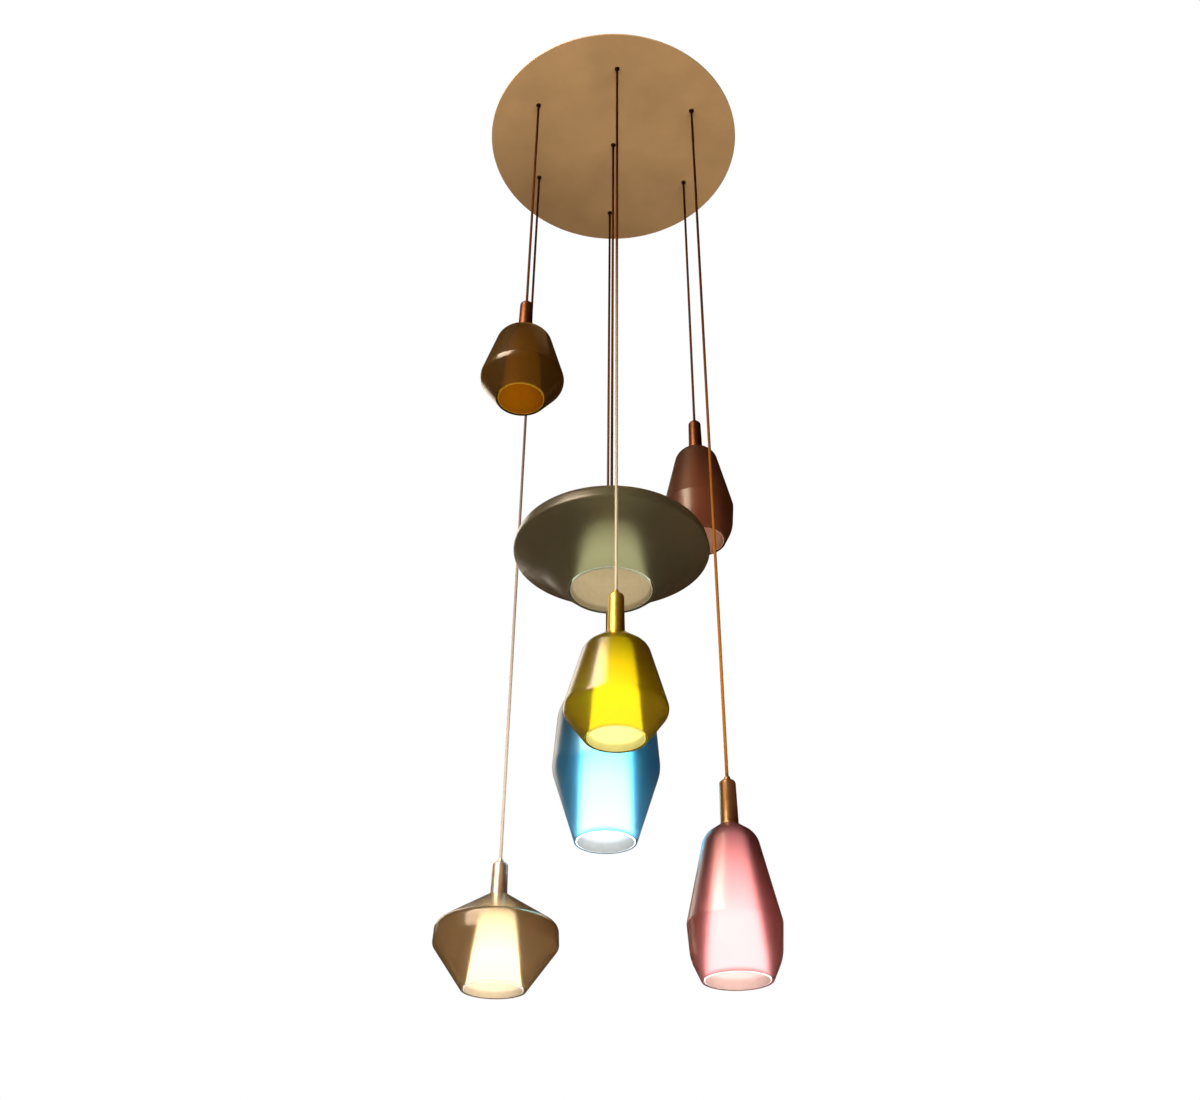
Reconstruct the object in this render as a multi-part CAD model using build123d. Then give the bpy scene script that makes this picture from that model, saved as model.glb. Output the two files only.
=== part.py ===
from build123d import *

import os
from math import cos, radians, sin, tan
from typing import NamedTuple

# Cluster pendant light: seven double-glass pendants hang on cords from one round ceiling canopy.
# Millimetres, +Z up. The origin is the centre of the ceiling face, and the light hangs below it.

# Canopy disc, and the skirt behind it that slips over the ceiling pan
DISC_RADIUS = 300.0
DISC_THICKNESS = 3.0
DISC_EDGE_ROUND = 1.2
CANOPY_DEPTH = 50.0
SKIRT_BELOW_CEILING = 17.0
SKIRT_CLEARANCE = 0.3
SHEET = 2.0

# Ceiling pan
PAN_INSET = 55.0
PAN_ABOVE_DISC = 11.0
PAN_BEND = 3.0
BOLT_COUNT = 4
BOLT_CIRCLE_RADIUS = 150.0
BOLT_HOLE_RADIUS = 3.25
BOLT_FIRST_ANGLE = 15.0

# Screws through the skirt into the pan
SIDE_SCREW_COUNT = 4
SIDE_SCREW_RADIUS = 2.0
SIDE_SCREW_TIP = 3.0
SCREW_HEAD_RADIUS = 3.8
SCREW_HEAD_HEIGHT = 2.4
SCREW_CLEARANCE = 0.2

# Cords, and their outlets in the disc
RING_INSET = 88.0
RING_COUNT = 6
RING_FIRST_ANGLE = -30.0
CORD_RADIUS = 2.75
CORD_SHEATH = 0.75
CORD_CLEARANCE = 0.3
BUSH_WALL = 1.75
BUSH_FLANGE_WIDTH = 1.2
BUSH_FLANGE_HEIGHT = 2.0
BUSH_HOLE_CLEARANCE = 0.2
BUSH_STICK_OUT = 2.0
BUSH_FLARE_ANGLE = 16.0
HINGE_ABOVE_MOUTH = 3.0
BUSH_NUT_WALL = 1.6
BUSH_NUT_HEIGHT = 5.0
THREAD_CLEARANCE = 0.1
STOP_WALL = 4.0
STOP_HEIGHT = 7.0

# Wiring inside the canopy
LEAD_GAP = 0.3
LEAD_STRAIGHT = 5.0
LEAD_APPROACH = 28.0
BLOCK_Y = 80.0
BLOCK_WAYS = 6
BLOCK_PITCH = 16.0
BLOCK_END = 8.0
BLOCK_WIDTH = 18.0
BLOCK_HEIGHT = 18.0
BLOCK_ROUND = 2.0
BLOCK_WELL_RADIUS = 2.6
BLOCK_WELL_DEPTH = 5.0
BLOCK_SCREW_RADIUS = 1.6
BLOCK_SCREW_HEAD_RADIUS = 3.0
BLOCK_SCREW_HEAD_HEIGHT = 2.0
BLOCK_SCREW_BELOW_CEILING = 0.5
EARTH_X = -70.0
EARTH_Y = -60.0
EARTH_HEX_ACROSS_FLATS = 8.0
EARTH_HEX_HEIGHT = 4.0
EARTH_STUD_RADIUS = 2.0
EARTH_STUD_LENGTH = 14.0
SUPPLY_X = 60.0
SUPPLY_Y = -60.0
GROMMET_BORE_RADIUS = 5.0
GROMMET_WALL = 3.0
GROMMET_FLANGE_WIDTH = 2.5
GROMMET_FLANGE_HEIGHT = 2.0
GROMMET_CLEARANCE = 0.2
GROMMET_BELOW_CEILING = 0.3

# Stem, a tapered tube that stands on the shade's neck
STEM_LENGTH = 76.0
SHORT_STEM_LENGTH = 56.0
STEM_TOP_RADIUS = 13.2
STEM_FOOT_RADIUS = 14.6
STEM_WALL = 3.2
STEM_ROUND = 6.0
STEM_TOP_WALL = 7.0
STEM_FOOT_WALL = 6.0
SPIGOT_RADIUS = 10.5
SPIGOT_WALL = 3.0
SPIGOT_SHORT_OF_FLOOR = 0.5
EDGE_ROUND = 0.4

# Cord grip in the stem's top
GRIP_WALL = 1.6
GRIP_SHOULDER = 2.0
GRIP_TIP_WALL = 1.2
GRIP_HEIGHT = 7.0

# Lampholder on the spigot, and its lamp
HOLDER_COLLAR_WALL = 2.4
HOLDER_THREAD_DEPTH = 10.0
HOLDER_FLOOR_WALL = 3.0
HOLDER_BODY_HEIGHT = 22.0
SOCKET_RADIUS = 8.6
SOCKET_WALL = 2.9
SOCKET_DEPTH = 6.0
SOCKET_CLEARANCE = 0.3
LAMP_BASE_SHOULDER = 0.9
LAMP_BASE_HEIGHT = 8.0
LAMP_BULB_INSET = 1.5
LAMP_BULB_LENGTH = 32.0
LAMP_TIP_FLAT = 0.4

# Glass
SHADE_WALL = 3.0
DIFFUSER_WALL = 2.0
SEAT_MARGIN = 2.0
NECK_ROUND = 6.0
NECK_CLEARANCE = 0.3
LIP_ROUND = 1.0
LIP_ROUND_TO_WALL = 0.4
DIFFUSER_FLANGE_ROUND = 2.5
DIFFUSER_SHOULDER_ROUND = 8.0
DIFFUSER_CLEARANCE = 0.4
DIFFUSER_RECESS = 0.8

# Bell: a round shoulder, a flank that widens to a low waistline and a steep cone to the mouth
BELL_SHOULDER_RADIUS = 54.0
BELL_SHOULDER_DEPTH = 29.0
BELL_SHOULDER_ROUND = 24.0
BELL_WIDE_RADIUS = 85.0
BELL_FLANK_HEIGHT = 111.0
BELL_WIDE_ROUND = 16.0
BELL_MOUTH_RADIUS = 50.0
BELL_CONE_HEIGHT = 48.0
BELL_DIFFUSER_RADIUS = 27.0
BELL_DIFFUSER_DEPTH = 20.0

# Drop: a slim shoulder, a crease below the middle and a belly that curves in to the mouth
DROP_SHOULDER_RADIUS = 42.0
DROP_SHOULDER_DEPTH = 18.0
DROP_SHOULDER_ROUND = 32.0
DROP_CREASE_RADIUS = 72.5
DROP_FLANK_HEIGHT = 136.0
DROP_CREASE_ROUND = 12.0
DROP_BELLY_RADIUS = 68.5
DROP_BELLY_HEIGHT = 52.0
DROP_BELLY_ROUND = 60.0
DROP_MOUTH_RADIUS = 53.0
DROP_MOUTH_HEIGHT = 33.0
DROP_DIFFUSER_RADIUS = 24.0
DROP_DIFFUSER_DEPTH = 18.0

# Top: a low cone, a short upright band and a cone to the mouth
TOP_SHOULDER_RADIUS = 103.0
TOP_SHOULDER_DEPTH = 54.0
TOP_SHOULDER_ROUND = 14.0
TOP_BAND_RADIUS = 104.5
TOP_BAND_HEIGHT = 32.0
TOP_BAND_ROUND = 10.0
TOP_MOUTH_RADIUS = 53.0
TOP_CONE_HEIGHT = 71.0
TOP_DIFFUSER_RADIUS = 28.0
TOP_DIFFUSER_DEPTH = 20.0

# Barrel: a domed shoulder, a tall bulging flank and a straight cone to the mouth
BARREL_SHOULDER_RADIUS = 92.0
BARREL_SHOULDER_DEPTH = 44.0
BARREL_SHOULDER_ROUND = 66.0
BARREL_WIDE_RADIUS = 103.0
BARREL_FLANK_HEIGHT = 142.0
BARREL_WIDE_ROUND = 58.0
BARREL_MOUTH_RADIUS = 57.5
BARREL_CONE_HEIGHT = 142.0
BARREL_DIFFUSER_RADIUS = 40.0
BARREL_DIFFUSER_DEPTH = 26.0

# Saucer: a low dome, a short rim with a crisp crease and a hollow flank to a wide mouth
SAUCER_TO_CORDS = 24.0
SAUCER_RIM_SPREAD = 7.0
SAUCER_SHOULDER_DEPTH = 41.0
SAUCER_SHOULDER_ROUND = 25.0
SAUCER_RIM_HEIGHT = 33.0
SAUCER_CREASE_ROUND = 6.0
SAUCER_FLANK_WIDTH = 60.0
SAUCER_FLANK_HEIGHT = 41.0
SAUCER_FLANK_ROUND = 150.0
SAUCER_MOUTH_INSET = 46.0
SAUCER_MOUTH_HEIGHT = 41.0
SAUCER_DIFFUSER_INSET = 32.0
SAUCER_DIFFUSER_DEPTH = 25.0

# Drops, from the disc's underside to the top of each stem
BROWN_DROP = 671.0
RUSSET_DROP = 802.0
OLIVE_DROP = 1077.0
BLUE_DROP = 1314.0
YELLOW_DROP = 1452.0
PINK_DROP = 1733.0
AMBER_DROP = 1799.0

# Levels and fits that follow from the sizes above
RING_RADIUS = DISC_RADIUS - RING_INSET
PAN_RADIUS = DISC_RADIUS - PAN_INSET
DISC_BOTTOM = -CANOPY_DEPTH
DISC_TOP = DISC_BOTTOM + DISC_THICKNESS
PAN_BOTTOM = DISC_TOP + PAN_ABOVE_DISC
SKIRT_INNER_RADIUS = PAN_RADIUS + SKIRT_CLEARANCE
SKIRT_OUTER_RADIUS = SKIRT_INNER_RADIUS + SHEET
SKIRT_TOP = -SKIRT_BELOW_CEILING
SIDE_SCREW_Z = (SKIRT_TOP + PAN_BOTTOM) / 2
SIDE_SCREW_END = PAN_RADIUS - SHEET - SIDE_SCREW_TIP
CORD_BORE_RADIUS = CORD_RADIUS + CORD_CLEARANCE
LEAD_RADIUS = CORD_RADIUS - CORD_SHEATH
BUSH_SPIGOT_RADIUS = CORD_BORE_RADIUS + BUSH_WALL
BUSH_FLANGE_RADIUS = BUSH_SPIGOT_RADIUS + BUSH_FLANGE_WIDTH
BUSH_MOUTH = DISC_BOTTOM - BUSH_FLANGE_HEIGHT
HINGE_Z = BUSH_MOUTH + HINGE_ABOVE_MOUTH
BUSH_MOUTH_RADIUS = CORD_BORE_RADIUS + HINGE_ABOVE_MOUTH * tan(radians(BUSH_FLARE_ANGLE))
BUSH_THREAD_RADIUS = BUSH_SPIGOT_RADIUS + THREAD_CLEARANCE
BUSH_TOP = DISC_TOP + BUSH_NUT_HEIGHT + BUSH_STICK_OUT
LEAD_BOTTOM = HINGE_Z + CORD_RADIUS + LEAD_GAP
LEAD_LEVEL = -SHEET - BLOCK_HEIGHT / 2
LEAD_BEND = LEAD_LEVEL - BUSH_TOP - STOP_HEIGHT - LEAD_STRAIGHT
BLOCK_LENGTH = BLOCK_WAYS * BLOCK_PITCH + 2 * BLOCK_END
BLOCK_BOTTOM = -SHEET - BLOCK_HEIGHT
BLOCK_SCREW_X = (BLOCK_LENGTH - BLOCK_END) / 2
GROMMET_BODY_RADIUS = GROMMET_BORE_RADIUS + GROMMET_WALL
GROMMET_FLANGE_RADIUS = GROMMET_BODY_RADIUS + GROMMET_FLANGE_WIDTH
DIFFUSER_TOP = -SHADE_WALL
HOLDER_TOP = DIFFUSER_TOP - DIFFUSER_WALL
HOLDER_FLOOR = HOLDER_TOP - HOLDER_THREAD_DEPTH
HOLDER_COLLAR_BOTTOM = HOLDER_FLOOR - HOLDER_FLOOR_WALL
HOLDER_BOTTOM = HOLDER_COLLAR_BOTTOM - HOLDER_BODY_HEIGHT
HOLDER_THREAD_RADIUS = SPIGOT_RADIUS + THREAD_CLEARANCE
HOLDER_COLLAR_RADIUS = HOLDER_THREAD_RADIUS + HOLDER_COLLAR_WALL
HOLDER_BODY_RADIUS = SOCKET_RADIUS + SOCKET_WALL
SPIGOT_END = HOLDER_FLOOR + SPIGOT_SHORT_OF_FLOOR
LAMP_BASE_RADIUS = SOCKET_RADIUS + LAMP_BASE_SHOULDER
LAMP_BULB_RADIUS = LAMP_BASE_RADIUS - LAMP_BULB_INSET
GRIP_BODY_RADIUS = CORD_BORE_RADIUS + GRIP_WALL
GRIP_BASE_RADIUS = GRIP_BODY_RADIUS + GRIP_SHOULDER
NECK_BORE_RADIUS = SPIGOT_RADIUS + NECK_CLEARANCE
DIFFUSER_FLANGE_RADIUS = HOLDER_COLLAR_RADIUS + SEAT_MARGIN
NECK_FLAT_RADIUS = max(STEM_FOOT_RADIUS, DIFFUSER_FLANGE_RADIUS) + SEAT_MARGIN
SAUCER_CREASE_RADIUS = RING_RADIUS - SAUCER_TO_CORDS
SAUCER_FLANK_RADIUS = SAUCER_CREASE_RADIUS - SAUCER_FLANK_WIDTH
SAUCER_MOUTH_RADIUS = SAUCER_FLANK_RADIUS - SAUCER_MOUTH_INSET
ON_FLOOR = (Align.CENTER, Align.CENTER, Align.MIN)


class Form(NamedTuple):
    """A shade as (radius, step down, rounding) corners below its neck, and its diffuser's shoulder."""

    corners: list
    diffuser_radius: float
    diffuser_depth: float


class Pendant(NamedTuple):
    """One pendant: its form, its place on the ring, its drop and where its lead meets the terminal block."""

    name: str
    form: Form
    ring_place: int | None
    drop: float
    stem_length: float
    block_side: int
    block_slot: float


BELL = Form(
    [
        (BELL_SHOULDER_RADIUS, BELL_SHOULDER_DEPTH, BELL_SHOULDER_ROUND),
        (BELL_WIDE_RADIUS, BELL_FLANK_HEIGHT, BELL_WIDE_ROUND),
        (BELL_MOUTH_RADIUS, BELL_CONE_HEIGHT, LIP_ROUND),
    ],
    BELL_DIFFUSER_RADIUS,
    BELL_DIFFUSER_DEPTH,
)
DROP = Form(
    [
        (DROP_SHOULDER_RADIUS, DROP_SHOULDER_DEPTH, DROP_SHOULDER_ROUND),
        (DROP_CREASE_RADIUS, DROP_FLANK_HEIGHT, DROP_CREASE_ROUND),
        (DROP_BELLY_RADIUS, DROP_BELLY_HEIGHT, DROP_BELLY_ROUND),
        (DROP_MOUTH_RADIUS, DROP_MOUTH_HEIGHT, LIP_ROUND),
    ],
    DROP_DIFFUSER_RADIUS,
    DROP_DIFFUSER_DEPTH,
)
TOP = Form(
    [
        (TOP_SHOULDER_RADIUS, TOP_SHOULDER_DEPTH, TOP_SHOULDER_ROUND),
        (TOP_BAND_RADIUS, TOP_BAND_HEIGHT, TOP_BAND_ROUND),
        (TOP_MOUTH_RADIUS, TOP_CONE_HEIGHT, LIP_ROUND),
    ],
    TOP_DIFFUSER_RADIUS,
    TOP_DIFFUSER_DEPTH,
)
BARREL = Form(
    [
        (BARREL_SHOULDER_RADIUS, BARREL_SHOULDER_DEPTH, BARREL_SHOULDER_ROUND),
        (BARREL_WIDE_RADIUS, BARREL_FLANK_HEIGHT, BARREL_WIDE_ROUND),
        (BARREL_MOUTH_RADIUS, BARREL_CONE_HEIGHT, LIP_ROUND),
    ],
    BARREL_DIFFUSER_RADIUS,
    BARREL_DIFFUSER_DEPTH,
)
SAUCER = Form(
    [
        (SAUCER_CREASE_RADIUS - SAUCER_RIM_SPREAD, SAUCER_SHOULDER_DEPTH, SAUCER_SHOULDER_ROUND),
        (SAUCER_CREASE_RADIUS, SAUCER_RIM_HEIGHT, SAUCER_CREASE_ROUND),
        (SAUCER_FLANK_RADIUS, SAUCER_FLANK_HEIGHT, SAUCER_FLANK_ROUND),
        (SAUCER_MOUTH_RADIUS, SAUCER_MOUTH_HEIGHT, LIP_ROUND),
    ],
    SAUCER_MOUTH_RADIUS - SAUCER_DIFFUSER_INSET,
    SAUCER_DIFFUSER_DEPTH,
)

PENDANTS = [
    Pendant("pink", DROP, 0, PINK_DROP, STEM_LENGTH, -1, 2.5),
    Pendant("russet", DROP, 1, RUSSET_DROP, STEM_LENGTH, 1, 2.5),
    Pendant("blue", BARREL, 2, BLUE_DROP, STEM_LENGTH, 1, 0.5),
    Pendant("amber", TOP, 3, AMBER_DROP, SHORT_STEM_LENGTH, 1, -1.5),
    Pendant("brown", BELL, 4, BROWN_DROP, STEM_LENGTH, -1, -2.5),
    Pendant("yellow", BELL, 5, YELLOW_DROP, STEM_LENGTH, -1, -1.5),
    Pendant("olive", SAUCER, None, OLIVE_DROP, STEM_LENGTH, -1, 0.5),
]


def lathe(corners):
    """A turned solid from (radius, height, rounding) corners of its half section."""
    points = [(radius, height) for radius, height, _ in corners]
    roundings = [rounding for _, _, rounding in corners]
    section = make_face(FilletPolyline(*points, radius=roundings, close=True))
    return revolve(Plane.XZ * section, Axis.Z)


def inward(start, end):
    """The unit normal of one stretch of a shell's outline, pointing into the shell."""
    along = (Vector(*end) - Vector(*start)).normalized()
    return Vector(along.Y, -along.X)


def lip_inner_radius(corners, wall):
    """The inner radius of a shell's flat lip."""
    (before_radius, before_height, _), (radius, height, _) = corners[-2:]
    normal = inward((before_radius, before_height), (radius, height))
    return radius + wall / normal.X


def shell(corners, wall):
    """A turned shell: an outline from its neck bore to its lip, and the same outline one wall further in."""
    points = [(radius, height) for radius, height, _ in corners]
    inner = [(points[0][0], points[0][1] - wall, corners[0][2])]
    lip_round = min(corners[-1][2], LIP_ROUND_TO_WALL * wall)
    for i in range(1, len(points) - 1):
        above = inward(points[i - 1], points[i])
        below = inward(points[i], points[i + 1])
        shift = (above + below) * (wall / (1 + above.dot(below)))
        turns_in = above.X * below.Y - above.Y * below.X < 0
        rounding = corners[i][2] - wall if turns_in else corners[i][2] + wall
        inner.append((points[i][0] + shift.X, points[i][1] + shift.Y, max(rounding, EDGE_ROUND)))
    outer_lip = (*points[-1], lip_round)
    inner_lip = (lip_inner_radius(corners, wall), points[-1][1], lip_round)
    return lathe(corners[:-1] + [outer_lip, inner_lip] + inner[::-1])


def shade_corners(form):
    """The shade's outline, from the hole in its neck to its lip, with the neck's top face at height 0."""
    corners = [(NECK_BORE_RADIUS, 0, EDGE_ROUND), (NECK_FLAT_RADIUS, 0, NECK_ROUND)]
    height = 0.0
    for radius, step_down, rounding in form.corners:
        height -= step_down
        corners.append((radius, height, rounding))
    return corners


def make_shade(form):
    return shell(shade_corners(form), SHADE_WALL)


def make_diffuser(form):
    """A satin cone that hangs by its flange under the shade's neck and fills the shade's mouth."""
    corners = shade_corners(form)
    mouth_radius = lip_inner_radius(corners, SHADE_WALL) - DIFFUSER_CLEARANCE
    mouth_height = corners[-1][1] + DIFFUSER_RECESS
    return shell(
        [
            (NECK_BORE_RADIUS, DIFFUSER_TOP, EDGE_ROUND),
            (DIFFUSER_FLANGE_RADIUS, DIFFUSER_TOP, DIFFUSER_FLANGE_ROUND),
            (form.diffuser_radius, DIFFUSER_TOP - form.diffuser_depth, DIFFUSER_SHOULDER_ROUND),
            (mouth_radius, mouth_height, LIP_ROUND),
        ],
        DIFFUSER_WALL,
    )


def make_stem(length):
    """A tapered hollow tube, with a foot that stands on the shade and a threaded spigot below it."""
    chamber_top = length - STEM_TOP_WALL
    chamber_radius = STEM_TOP_RADIUS - STEM_WALL
    grip_hole = GRIP_BODY_RADIUS + THREAD_CLEARANCE
    bore = SPIGOT_RADIUS - SPIGOT_WALL
    return lathe(
        [
            (bore, SPIGOT_END, EDGE_ROUND),
            (SPIGOT_RADIUS, SPIGOT_END, EDGE_ROUND),
            (SPIGOT_RADIUS, 0, 0),
            (STEM_FOOT_RADIUS, 0, EDGE_ROUND),
            (STEM_TOP_RADIUS, length, min(STEM_ROUND, STEM_TOP_RADIUS - GRIP_BASE_RADIUS)),
            (grip_hole, length, 0),
            (grip_hole, chamber_top, 0),
            (chamber_radius, chamber_top, 0),
            (chamber_radius, STEM_FOOT_WALL, 0),
            (bore, STEM_FOOT_WALL, 0),
        ]
    )


def make_cord_grip(stem_length):
    """A tapered bush screwed into the stem's top, which holds the cord."""
    return lathe(
        [
            (CORD_BORE_RADIUS, stem_length - STEM_TOP_WALL, 0),
            (GRIP_BODY_RADIUS, stem_length - STEM_TOP_WALL, EDGE_ROUND),
            (GRIP_BODY_RADIUS, stem_length, 0),
            (GRIP_BASE_RADIUS, stem_length, EDGE_ROUND),
            (CORD_BORE_RADIUS + GRIP_TIP_WALL, stem_length + GRIP_HEIGHT, EDGE_ROUND),
            (CORD_BORE_RADIUS, stem_length + GRIP_HEIGHT, EDGE_ROUND),
        ]
    )


def make_lampholder():
    """A ceramic holder whose threaded collar clamps the diffuser and the shade against the stem's foot."""
    return lathe(
        [
            (0, HOLDER_FLOOR, 0),
            (HOLDER_THREAD_RADIUS, HOLDER_FLOOR, 0),
            (HOLDER_THREAD_RADIUS, HOLDER_TOP, 0),
            (HOLDER_COLLAR_RADIUS, HOLDER_TOP, EDGE_ROUND),
            (HOLDER_COLLAR_RADIUS, HOLDER_COLLAR_BOTTOM, 0),
            (HOLDER_BODY_RADIUS, HOLDER_COLLAR_BOTTOM, 0),
            (HOLDER_BODY_RADIUS, HOLDER_BOTTOM, EDGE_ROUND),
            (SOCKET_RADIUS, HOLDER_BOTTOM, 0),
            (SOCKET_RADIUS, HOLDER_BOTTOM + SOCKET_DEPTH, 0),
            (0, HOLDER_BOTTOM + SOCKET_DEPTH, 0),
        ]
    )


def make_lamp():
    """A capsule lamp: a plug in the socket, a base against the holder and a round-ended bulb."""
    plug_radius = SOCKET_RADIUS - SOCKET_CLEARANCE
    plug_top = HOLDER_BOTTOM + SOCKET_DEPTH - SOCKET_CLEARANCE
    base_bottom = HOLDER_BOTTOM - LAMP_BASE_HEIGHT
    bulb_tip = base_bottom - LAMP_BULB_LENGTH
    return lathe(
        [
            (0, plug_top, 0),
            (plug_radius, plug_top, EDGE_ROUND),
            (plug_radius, HOLDER_BOTTOM, 0),
            (LAMP_BASE_RADIUS, HOLDER_BOTTOM, EDGE_ROUND),
            (LAMP_BASE_RADIUS, base_bottom, EDGE_ROUND),
            (LAMP_BULB_RADIUS, base_bottom, EDGE_ROUND),
            (LAMP_BULB_RADIUS, bulb_tip, LAMP_BULB_RADIUS - LAMP_TIP_FLAT),
            (0, bulb_tip, 0),
        ]
    )


def outlet_place(pendant):
    """The pendant's cord outlet: the disc's centre, or its place on the ring."""
    if pendant.ring_place is None:
        return 0.0, 0.0
    angle = radians(RING_FIRST_ANGLE + pendant.ring_place * 360 / RING_COUNT)
    return RING_RADIUS * cos(angle), RING_RADIUS * sin(angle)


def neck_height(pendant):
    """The height of the top of the pendant's shade."""
    return DISC_BOTTOM - pendant.drop - pendant.stem_length


def make_cord(pendant):
    """A straight taut cord, with a ball end in its bush and its tail just above the lampholder's floor."""
    x, y = outlet_place(pendant)
    tail = neck_height(pendant) + HOLDER_FLOOR + CORD_CLEARANCE
    run = Pos(x, y, tail) * Cylinder(CORD_RADIUS, HINGE_Z - tail, align=ON_FLOOR)
    return run + Pos(x, y, HINGE_Z) * Sphere(CORD_RADIUS)


def make_disc():
    """The canopy disc with the skirt behind it, its seven outlet holes and the side screws' holes."""
    disc = lathe(
        [
            (0, DISC_BOTTOM, 0),
            (DISC_RADIUS, DISC_BOTTOM, DISC_EDGE_ROUND),
            (DISC_RADIUS, DISC_TOP, DISC_EDGE_ROUND),
            (SKIRT_OUTER_RADIUS, DISC_TOP, 0),
            (SKIRT_OUTER_RADIUS, SKIRT_TOP, EDGE_ROUND),
            (SKIRT_INNER_RADIUS, SKIRT_TOP, EDGE_ROUND),
            (SKIRT_INNER_RADIUS, DISC_TOP, 0),
            (0, DISC_TOP, 0),
        ]
    )
    hole_radius = BUSH_SPIGOT_RADIUS + BUSH_HOLE_CLEARANCE
    for pendant in PENDANTS:
        x, y = outlet_place(pendant)
        disc -= Pos(x, y, DISC_BOTTOM) * Cylinder(hole_radius, DISC_THICKNESS, align=ON_FLOOR)
    return disc - side_screw_holes(SIDE_SCREW_RADIUS + SCREW_CLEARANCE)


def side_screw_places():
    """Frames whose Z axes point out through the skirt at each side screw, from the canopy's own axis."""
    for i in range(SIDE_SCREW_COUNT):
        yield Rot(0, 0, i * 360 / SIDE_SCREW_COUNT) * Pos(0, 0, SIDE_SCREW_Z) * Rot(0, 90, 0)


def side_screw_holes(radius):
    """Radial drills through the skirt and the pan's flange."""
    drill = Pos(0, 0, SIDE_SCREW_END) * Cylinder(radius, DISC_RADIUS - SIDE_SCREW_END, align=ON_FLOOR)
    return [place * drill for place in side_screw_places()]


def make_side_screws():
    """Pan-head screws that lock the skirt to the pan."""
    head_top = SKIRT_OUTER_RADIUS + SCREW_HEAD_HEIGHT
    screw = lathe(
        [
            (0, SIDE_SCREW_END, 0),
            (SIDE_SCREW_RADIUS, SIDE_SCREW_END, EDGE_ROUND),
            (SIDE_SCREW_RADIUS, SKIRT_OUTER_RADIUS, 0),
            (SCREW_HEAD_RADIUS, SKIRT_OUTER_RADIUS, EDGE_ROUND),
            (SCREW_HEAD_RADIUS, head_top, SCREW_HEAD_HEIGHT / 2),
            (0, head_top, 0),
        ]
    )
    return [place * screw for place in side_screw_places()]


def make_pan():
    """The sheet pan that is bolted to the ceiling."""
    pan = lathe(
        [
            (0, 0, 0),
            (PAN_RADIUS, 0, PAN_BEND),
            (PAN_RADIUS, PAN_BOTTOM, EDGE_ROUND),
            (PAN_RADIUS - SHEET, PAN_BOTTOM, EDGE_ROUND),
            (PAN_RADIUS - SHEET, -SHEET, max(PAN_BEND - SHEET, EDGE_ROUND)),
            (0, -SHEET, 0),
        ]
    )
    for i in range(BOLT_COUNT):
        bolt_place = Rot(0, 0, BOLT_FIRST_ANGLE + i * 360 / BOLT_COUNT) * Pos(BOLT_CIRCLE_RADIUS, 0, -SHEET)
        pan -= bolt_place * Cylinder(BOLT_HOLE_RADIUS, SHEET, align=ON_FLOOR)
    grommet_hole = GROMMET_BODY_RADIUS + GROMMET_CLEARANCE
    pan -= Pos(SUPPLY_X, SUPPLY_Y, -SHEET) * Cylinder(grommet_hole, SHEET, align=ON_FLOOR)
    for place in block_screw_places():
        pan -= place * Cylinder(BLOCK_SCREW_RADIUS + THREAD_CLEARANCE, SHEET, align=ON_FLOOR)
    return pan - side_screw_holes(SIDE_SCREW_RADIUS + THREAD_CLEARANCE)


def make_outlet_bush():
    """A flared bush, seen from below as a small collar round the cord."""
    return lathe(
        [
            (BUSH_MOUTH_RADIUS, BUSH_MOUTH, EDGE_ROUND),
            (BUSH_FLANGE_RADIUS, BUSH_MOUTH, BUSH_FLANGE_HEIGHT / 2),
            (BUSH_FLANGE_RADIUS, DISC_BOTTOM, 0),
            (BUSH_SPIGOT_RADIUS, DISC_BOTTOM, 0),
            (BUSH_SPIGOT_RADIUS, BUSH_TOP, EDGE_ROUND),
            (CORD_BORE_RADIUS, BUSH_TOP, 0),
            (CORD_BORE_RADIUS, HINGE_Z, 0),
        ]
    )


def make_bush_nut():
    """A hexagon nut that holds the bush in the disc."""
    section = RegularPolygon(BUSH_THREAD_RADIUS + BUSH_NUT_WALL, 6, major_radius=False)
    section -= Circle(BUSH_THREAD_RADIUS)
    return extrude(Pos(0, 0, DISC_TOP) * section, BUSH_NUT_HEIGHT)


def make_cord_stop():
    """A clamp ring on the lead that takes the cord's pull on top of the bush."""
    bore = LEAD_RADIUS + THREAD_CLEARANCE
    section = Circle(bore + STOP_WALL) - Circle(bore)
    return extrude(Pos(0, 0, BUSH_TOP) * section, STOP_HEIGHT)


def at_outlets(piece):
    """One copy of a piece at each cord outlet."""
    copies = []
    for pendant in PENDANTS:
        x, y = outlet_place(pendant)
        copies.append(Pos(x, y, 0) * piece)
    return copies


def make_lead(pendant):
    """The fixed lead, up through the bush and the stop and across to the side of the terminal block."""
    x, y = outlet_place(pendant)
    entry_x = pendant.block_slot * BLOCK_PITCH
    entry_y = BLOCK_Y + pendant.block_side * BLOCK_WIDTH / 2
    approach_y = entry_y + pendant.block_side * LEAD_APPROACH
    route = FilletPolyline(
        (x, y, LEAD_BOTTOM),
        (x, y, LEAD_LEVEL),
        (entry_x, approach_y, LEAD_LEVEL),
        (entry_x, entry_y, LEAD_LEVEL),
        radius=LEAD_BEND,
    )
    return sweep(Pos(x, y, LEAD_BOTTOM) * Circle(LEAD_RADIUS), path=route)


def block_screw_places():
    """The two fixing holes of the terminal block, on the pan's inner face."""
    return [Pos(side * BLOCK_SCREW_X, BLOCK_Y, -SHEET) for side in (-1, 1)]


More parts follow.
